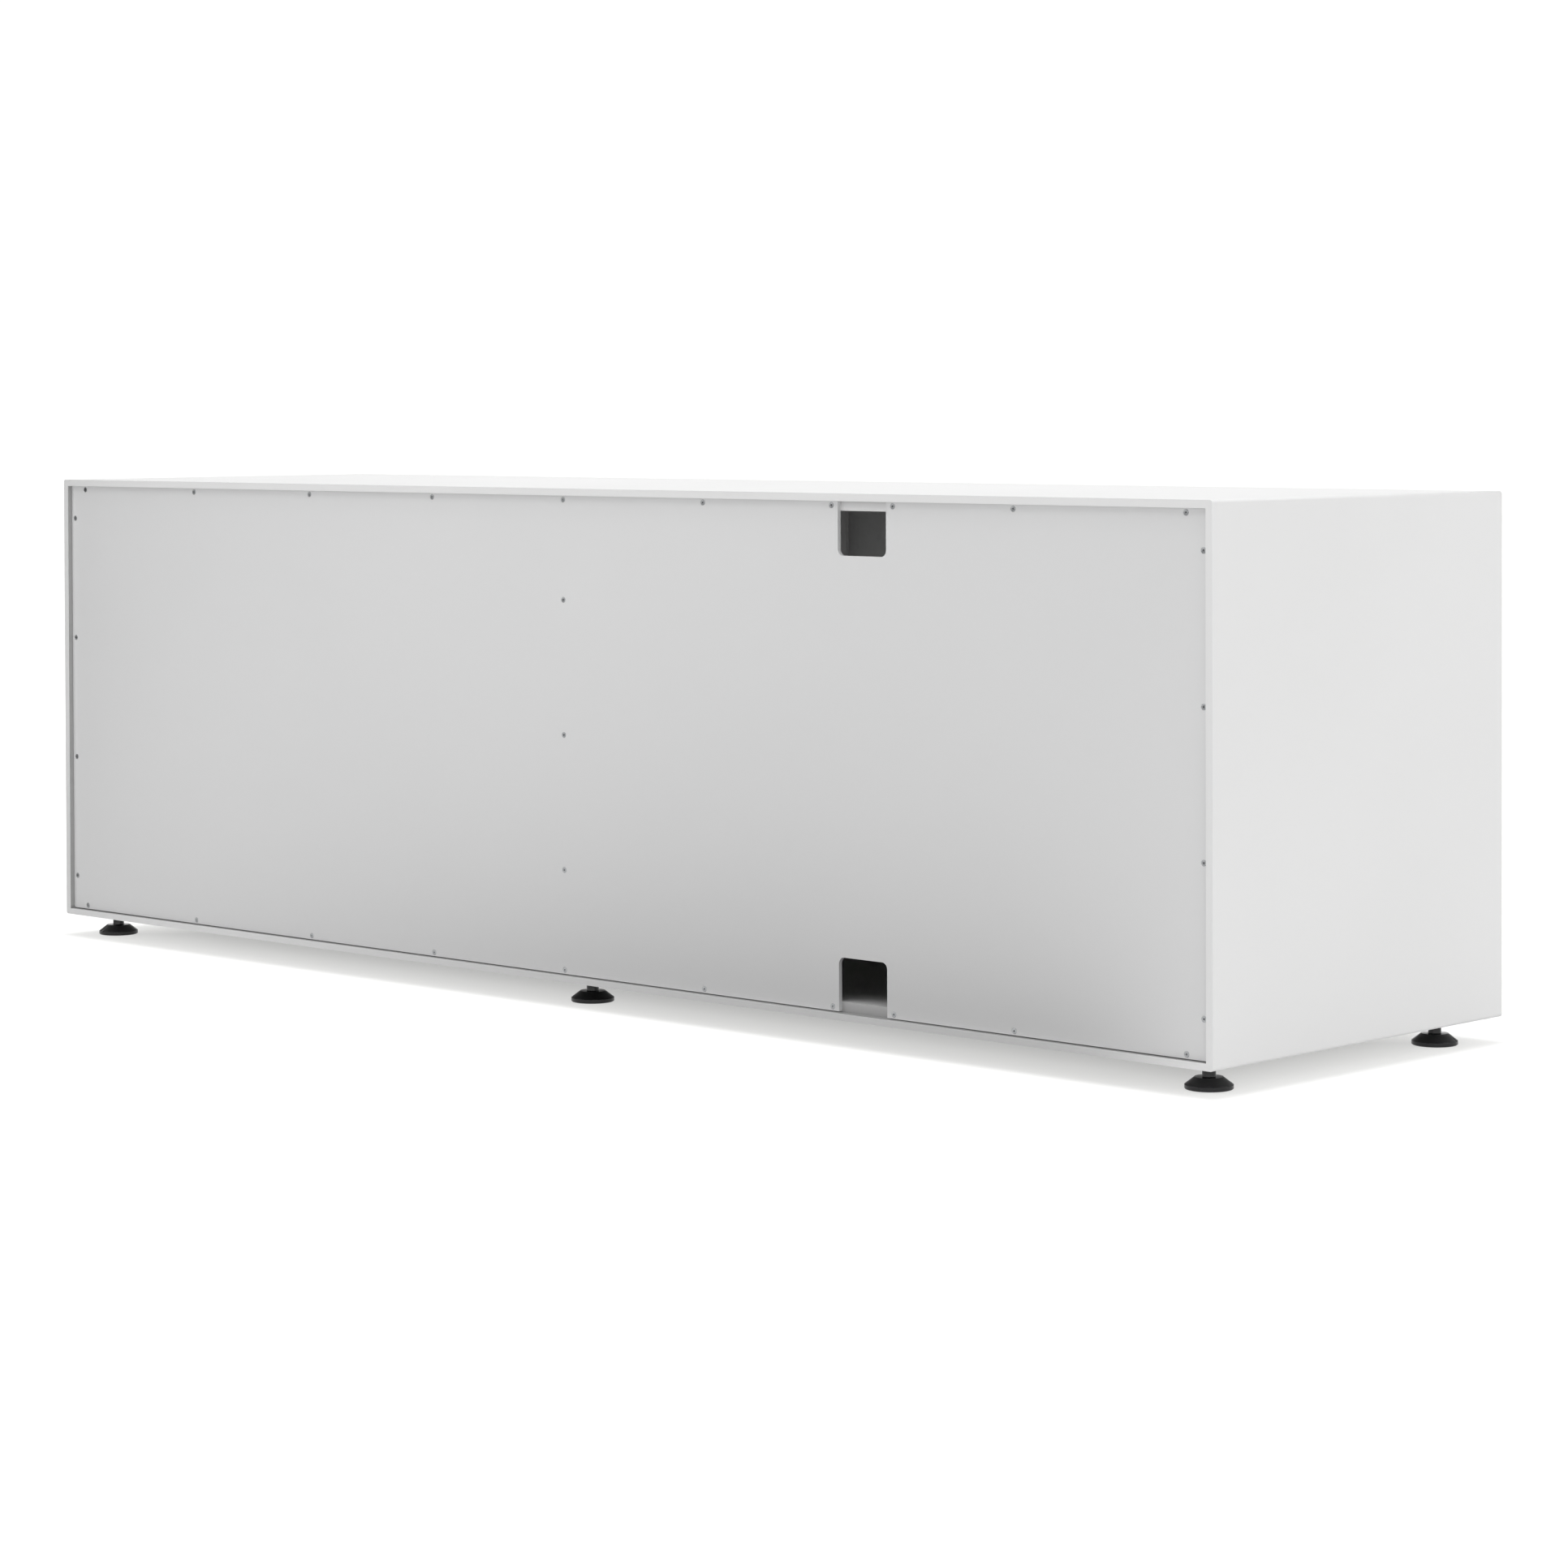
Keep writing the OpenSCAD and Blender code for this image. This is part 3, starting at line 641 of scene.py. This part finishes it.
def housing_parts(w, length, h, bore, axis_up, chamber):
    """Moulded latch body in millimetres: mouth at y = 0, body towards +Y, centred on x = 0 and z = 0."""
    n = 44

    def section(y, grow):
        return [np.array([x, y, z]) for x, z in rounded_rect(w + 2 * grow, h + grow, 2.4 + grow, 0.9 + grow)]

    rings = [section(0.0, -0.7), section(0.2, -0.3), section(0.7, 0.0)]
    for mid in (12.0, 22.0, 32.0, 42.0, 52.0):
        for dy, grow in ((-1.1, 0.0), (-0.6, 0.30), (0.6, 0.30), (1.1, 0.0)):
            rings.append(section(mid + dy, grow))
    rings += [section(length - 0.7, 0.0), section(length - 0.2, -0.3), section(length, -0.7)]
    # the beads grow downwards and sideways only: the top stays on the panel
    for ring in rings:
        for p in ring:
            p[2] = min(p[2], h / 2)
    verts, faces = [], []
    for r in rings:
        verts.extend(r)
    for i in range(len(rings) - 1):
        for j in range(n):
            a, b = i * n + j, i * n + (j + 1) % n
            faces.append((a, b, b + n, a + n))
    last = (len(rings) - 1) * n
    verts.append(np.array([0, length, 0]))
    faces.extend((len(verts) - 1, last + (j + 1) % n, last + j) for j in range(n))

    # mouth: a raised seat, a groove and the bore
    first = rings[0]
    ang = [math.atan2(p[2] - axis_up, p[0]) for p in first]

    def circle(r, y):
        return [np.array([r * math.cos(a), y, axis_up + r * math.sin(a)]) for a in ang]

    mouth = [circle(bore + 1.55, 0.0), circle(bore + 1.40, 0.45), circle(bore + 0.85, 0.45), circle(bore + 0.75, 0.0),
             circle(bore + 0.3, 0.0), circle(bore, 0.3), circle(bore, chamber)]
    prev = 0
    for ring in mouth:
        off = len(verts)
        verts.extend(ring)
        for j in range(n):
            k = (j + 1) % n
            faces.append((prev + k, prev + j, off + j, off + k))
        prev = off
    verts.append(np.array([0, chamber, axis_up]))
    faces.extend((len(verts) - 1, prev + j, prev + (j + 1) % n) for j in range(n))
    return verts, faces


def tab_parts(side, reach, r, t, hole, y, top):
    """Fixing ear in millimetres: a rounded plate with a screw hole, its upper face at z = top."""
    n = 48
    outline = []
    for k in range(n):
        a = 2 * math.pi * k / n
        c, s = math.cos(a), math.sin(a)
        x = r * c
        if side * c < 0:
            # square inner end, run back into the body
            m = max(abs(c), abs(s))
            x, z = r * c / m, r * s / m
            outline.append((side * reach + (x if abs(x) < reach else math.copysign(reach, x)), z))
            continue
        outline.append((side * reach + x, r * s))
    inner = [(side * reach + hole * math.cos(2 * math.pi * k / n), hole * math.sin(2 * math.pi * k / n)) for k in range(n)]

    def ring(pts, z, grow=0.0):
        cx = side * reach
        out = []
        for x, v in pts:
            d = math.hypot(x - cx, v)
            f = (d + grow) / d
            out.append(np.array([cx + (x - cx) * f, y + v * f, z]))
        return out

    stack = [ring(inner, top), ring(outline, top), ring(outline, top - t + 0.5), ring(outline, top - t + 0.15, -0.15),
             ring(outline, top - t, -0.5), ring(inner, top - t, 0.35), ring(inner, top - t + 0.35), ring(inner, top)]
    verts, faces = [], []
    for r_ in stack[:-1]:
        verts.extend(r_)
    m = len(stack) - 1
    for i in range(m):
        for j in range(n):
            k = (j + 1) % n
            a, b = i * n, ((i + 1) % m) * n
            faces.append((a + j, a + k, b + k, b + j))
    return verts, faces


parts = []
screw_at = [((lo[0] + hi[0]) / 2, (lo[1] + hi[1]) / 2) for lo, hi in islands("latch_screws")]
for lo, hi in islands("latch_housings"):
    # the ears reach 12 mm past the body on either side
    cx, y0, y1, z0, z1 = (lo[0] + hi[0]) / 2, lo[1], hi[1], lo[2], hi[2]
    w = (hi[0] - lo[0]) / MM - 24
    h, length = (z1 - z0) / MM, (y1 - y0) / MM
    near = min(("outer_left", "inner_left", "inner_right", "outer_right"),
               key=lambda d: abs(sum(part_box(d + "_plunger")[k].x for k in (0, 1)) / 2 - cx))
    plo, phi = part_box(near + "_plunger")
    bore = (phi.x - plo.x) / 2 / MM + 0.05
    axis_up = ((plo.z + phi.z) / 2 - (z0 + z1) / 2) / MM
    base = np.array([cx, y0, (z0 + z1) / 2])
    v, f = housing_parts(w, length, h, bore, axis_up, 43.0)
    parts.append(([base + MM * p for p in v], f))
    for sx, sy in screw_at:
        if abs(sx - cx) < 0.02:
            side = 1 if sx > cx else -1
            v, f = tab_parts(side, abs(sx - cx) / MM, 6.0, 4.0, 1.55, (sy - y0) / MM, h / 2)
            parts.append(([base + MM * p for p in v], f))
ob = merged("latch_bodies", parts, M_GREY, "case", 1e-7, 30)
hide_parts("latch_housings")


# ------------------------------------------------------------ floor and air

SKY_HIGH, SKY_MID, SKY_LOW = 1.028, 0.04, 1.32
LIGHTS = (
    ("overhead", (0.0, 0.0, 3.2), (0, 0, 0.3), 3.0, 26.0, 2.4),
    ("end_left", (-3.8, -0.6, 2.0), (-0.9, 0, 0.35), 2.0, 8.2, 2.0),
    ("key_left", (-3.6, -1.6, 2.2), (0, 0, 0.3), 1.6, 11.2, 1.6),
    ("rear_right", (2.6, 3.4, 2.6), (0.2, 0.2, 0.3), 2.4, 23.9, 2.4),
    ("end_right", (3.8, 0.6, 2.0), (0.9, 0, 0.35), 2.0, 20.0, 2.0),
)
INNER = 0.14
# glow of the floor copy that the shiny pieces reflect: painted light
REFLECTED_FLOOR_GLOW = 0.55
# a painted shadow: a soft dark patch in the colour of the floor that lights the case from below, just behind the case;
# and a black flag standing at its right
PAINTED_FLOOR_SHADOW = {"x": (-0.883, -0.733, -0.484, 1.183), "y": (0.18, 0.24, 0.408, 0.547), "tone": 0.016}
FLAG = {"x": 1.176, "y": (0.24, 0.565), "z": (0.0, 1.8)}
# how bright the seen floor glows: deep under the case, and what is added under its edge and outside it; the lower glow
# under the case is a painted shadow
GLOW, GLOW_EDGE, GLOW_OUT = 0.45, 0.18, 0.24


def flat_disc(name, radius, z, n=96):
    me = bpy.data.meshes.new(name)
    me.from_pydata([(radius * math.cos(2 * math.pi * k / n), radius * math.sin(2 * math.pi * k / n), z)
                    for k in range(n)], [], [tuple(range(n))])
    ob = bpy.data.objects.new(name, me)
    scene.collection.objects.link(ob)
    return ob


def stage_material(name, base, glow, glow_colour=(1, 1, 1)):
    mat, nt, p = principled(name, base, 0.9, specular=0.1)
    vec = coords(nt)
    lo = tuple(0.985 * c for c in base)
    nt.links.new(ramp(nt, noise(nt, vec, 5, 3), [(0.35, lo), (0.65, base)]), p.inputs["Base Color"])
    p.inputs["Emission Color"].default_value = (*glow_colour, 1)
    p.inputs["Emission Strength"].default_value = glow
    return mat


def smooth_step(nt, fac, lo, hi, a=0.0, b=1.0):
    m = nt.nodes.new("ShaderNodeMapRange")
    m.interpolation_type = "SMOOTHSTEP"
    m.inputs["From Min"].default_value = lo
    m.inputs["From Max"].default_value = hi
    m.inputs["To Min"].default_value = a
    m.inputs["To Max"].default_value = b
    nt.links.new(fac, m.inputs["Value"])
    return m.outputs["Result"]


# what the camera sees: a pale glowing floor, with a soft shade under the case, partly cast by the lamps on its diffuse
# part and partly painted as a drop in its glow under the footprint
seen_mat = stage_material("pale_floor_painted_shadow", (0.35, 0.35, 0.35), 0.5, (1.0, 1.0, 0.985))
snt = seen_mat.node_tree
ssep = snt.nodes.new("ShaderNodeSeparateXYZ")
snt.links.new(coords(snt), ssep.inputs["Vector"])
out_x = maths(snt, "SUBTRACT", maths(snt, "ABSOLUTE", ssep.outputs["X"]), 0.90)
out_y = maths(snt, "SUBTRACT", maths(snt, "ABSOLUTE", ssep.outputs["Y"]), 0.24)
outside = maths(snt, "MAXIMUM", out_x, out_y)
glow = maths(snt, "ADD", smooth_step(snt, outside, -0.14, -0.02, GLOW, GLOW + GLOW_EDGE),
             smooth_step(snt, outside, -0.006, 0.020, 0.0, GLOW_OUT))
snt.links.new(glow, snt.nodes["Principled BSDF"].inputs["Emission Strength"])
seen = flat_disc("floor_seen", 60, -0.0004)
seen.data.materials.append(seen_mat)
seen.visible_diffuse = False
seen.visible_glossy = False
seen.visible_transmission = False
seen.visible_shadow = False

# what lights the object from below, with a painted shadow in its colour behind the case
bounce_mat, bnt, bp = principled("floor_light", (0.80, 0.80, 0.80), 0.9, specular=0.1)
bsep = bnt.nodes.new("ShaderNodeSeparateXYZ")
bnt.links.new(coords(bnt), bsep.inputs["Vector"])
painted_shadow = maths(bnt, "MULTIPLY", smooth_step(bnt, bsep.outputs["X"], PAINTED_FLOOR_SHADOW["x"][0], PAINTED_FLOOR_SHADOW["x"][1]),
             smooth_step(bnt, bsep.outputs["X"], PAINTED_FLOOR_SHADOW["x"][2], PAINTED_FLOOR_SHADOW["x"][3], 1, 0))
painted_shadow = maths(bnt, "MULTIPLY", painted_shadow, smooth_step(bnt, bsep.outputs["Y"], PAINTED_FLOOR_SHADOW["y"][0], PAINTED_FLOOR_SHADOW["y"][1]))
painted_shadow = maths(bnt, "MULTIPLY", painted_shadow, smooth_step(bnt, bsep.outputs["Y"], PAINTED_FLOOR_SHADOW["y"][2], PAINTED_FLOOR_SHADOW["y"][3], 1, 0))
bnt.links.new(ramp(bnt, painted_shadow, [(0.0, (0.80, 0.80, 0.80)), (1.0, (PAINTED_FLOOR_SHADOW["tone"],) * 3)]), bp.inputs["Base Color"])
bounce = flat_disc("floor_bounce", 30, -0.0008)
bounce.data.materials.append(bounce_mat)
bounce.visible_camera = False
bounce.visible_shadow = False
bounce.visible_glossy = False

# what the shiny pieces reflect: a copy of the floor without the painted shadow, which glows, fading out from 0.7 to 2.4
# m behind the case; this glow is painted light standing in for the lit floor
shine_mat = stage_material("floor_glow_for_reflections", (0.80, 0.80, 0.80), 0.0)
hnt = shine_mat.node_tree
hsep = hnt.nodes.new("ShaderNodeSeparateXYZ")
hnt.links.new(coords(hnt), hsep.inputs["Vector"])
hnt.links.new(smooth_step(hnt, hsep.outputs["Y"], 0.7, 2.4, REFLECTED_FLOOR_GLOW, 0.0),
              hnt.nodes["Principled BSDF"].inputs["Emission Strength"])
shine = flat_disc("floor_shine", 30, -0.0012)
shine.data.materials.append(shine_mat)
shine.visible_camera = False
shine.visible_shadow = False
shine.visible_diffuse = False
shine.visible_transmission = False

flag_me = bpy.data.meshes.new("flag")
flag_me.from_pydata([(FLAG["x"], y, z) for y, z in ((FLAG["y"][0], FLAG["z"][0]), (FLAG["y"][1], FLAG["z"][0]),
                                                    (FLAG["y"][1], FLAG["z"][1]), (FLAG["y"][0], FLAG["z"][1]))],
                    [], [(0, 1, 2, 3)])
flag = bpy.data.objects.new("flag", flag_me)
scene.collection.objects.link(flag)
flag_me.materials.append(stage_material("black_flock", (0.01, 0.01, 0.01), 0.0))
flag.visible_camera = False

# plain white air behind everything, for the camera alone
dome_me = bpy.data.meshes.new("backdrop")
bm = bmesh.new()
bmesh.ops.create_uvsphere(bm, u_segments=48, v_segments=24, radius=70)
bm.to_mesh(dome_me)
bm.free()
dome = bpy.data.objects.new("backdrop", dome_me)
scene.collection.objects.link(dome)
dome_me.materials.append(stage_material("white_air", (0.0, 0.0, 0.0), 1.05))
for flag in ("visible_diffuse", "visible_glossy", "visible_transmission", "visible_shadow",
             "visible_volume_scatter"):
    setattr(dome, flag, False)

world = bpy.data.worlds.new("studio")
scene.world = world
world.use_nodes = True
wnt = world.node_tree
bg = wnt.nodes["Background"]
tc = wnt.nodes.new("ShaderNodeTexCoord")
sep = wnt.nodes.new("ShaderNodeSeparateXYZ")
wnt.links.new(tc.outputs["Generated"], sep.inputs["Vector"])
wr = wnt.nodes.new("ShaderNodeValToRGB")
wm = wnt.nodes.new("ShaderNodeMapRange")
wm.inputs["From Min"].default_value = -1
wm.inputs["From Max"].default_value = 1
wnt.links.new(sep.outputs["Z"], wm.inputs["Value"])
wnt.links.new(wm.outputs["Result"], wr.inputs["Fac"])
stops = [(0.0, 0.0), (0.50, 0.0), (0.505, SKY_LOW), (0.56, SKY_LOW), (0.62, SKY_MID), (0.70, SKY_MID), (0.80, SKY_HIGH),
         (1.0, SKY_HIGH)]
el = wr.color_ramp.elements
el[0].position, el[0].color = stops[0][0], (stops[0][1],) * 3 + (1,)
el[1].position, el[1].color = stops[-1][0], (stops[-1][1],) * 3 + (1,)
for pos, v in stops[1:-1]:
    e = el.new(pos)
    e.color = (v, v, v, 1)
wnt.links.new(wr.outputs["Color"], bg.inputs["Color"])
bg.inputs["Strength"].default_value = 1.0


def area(name, place, target, size, power, size_y=None):
    data = bpy.data.lights.new(name, "AREA")
    data.shape = "RECTANGLE"
    data.size = size
    data.size_y = size_y or size
    data.energy = power
    ob = bpy.data.objects.new(name, data)
    scene.collection.objects.link(ob)
    ob.location = place
    d = Vector(target) - Vector(place)
    ob.rotation_mode = "QUATERNION"
    ob.rotation_quaternion = d.to_track_quat("-Z", "Y")
    return ob


for spec in LIGHTS:
    area(*spec)
# a trace of light in the upper left compartment, as it reaches it through the upper cut-out
inner = area("inner_trace", (-0.45, 0.0, 0.545), (-0.45, 0.0, 0.0), 0.5, INNER, 0.3)
inner.visible_camera = False
inner.visible_glossy = False

scene.view_settings.view_transform = "Standard"
scene.view_settings.look = "None"
scene.view_settings.exposure = 0
scene.view_settings.gamma = 1

# ------------------------------------------------------------------ camera

cam_data = bpy.data.cameras.new("camera")
cam = bpy.data.objects.new("camera", cam_data)
scene.collection.objects.link(cam)
cam_data.sensor_width = 36
cam_data.sensor_fit = "HORIZONTAL"
cam_data.lens = 95.056
cam_data.shift_x = 0.0
cam_data.shift_y = -0.19120
cam_data.clip_start = 0.05
cam_data.clip_end = 200
yaw, pitch, roll = 0.766064, -0.02, -0.003258
look = Vector((math.sin(yaw) * math.cos(pitch), -math.cos(yaw) * math.cos(pitch), math.sin(pitch)))
level = look.cross(Vector((0, 0, 1))).normalized()
rise = level.cross(look)
right = level * math.cos(roll) + rise * math.sin(roll)
above = rise * math.cos(roll) - level * math.sin(roll)
cam.rotation_mode = "QUATERNION"
cam.rotation_quaternion = Matrix((right, above, -look)).transposed().to_quaternion()
cam.location = (-3.30953, 3.325336, 0.660118)
scene.camera = cam

bpy.context.view_layer.update()
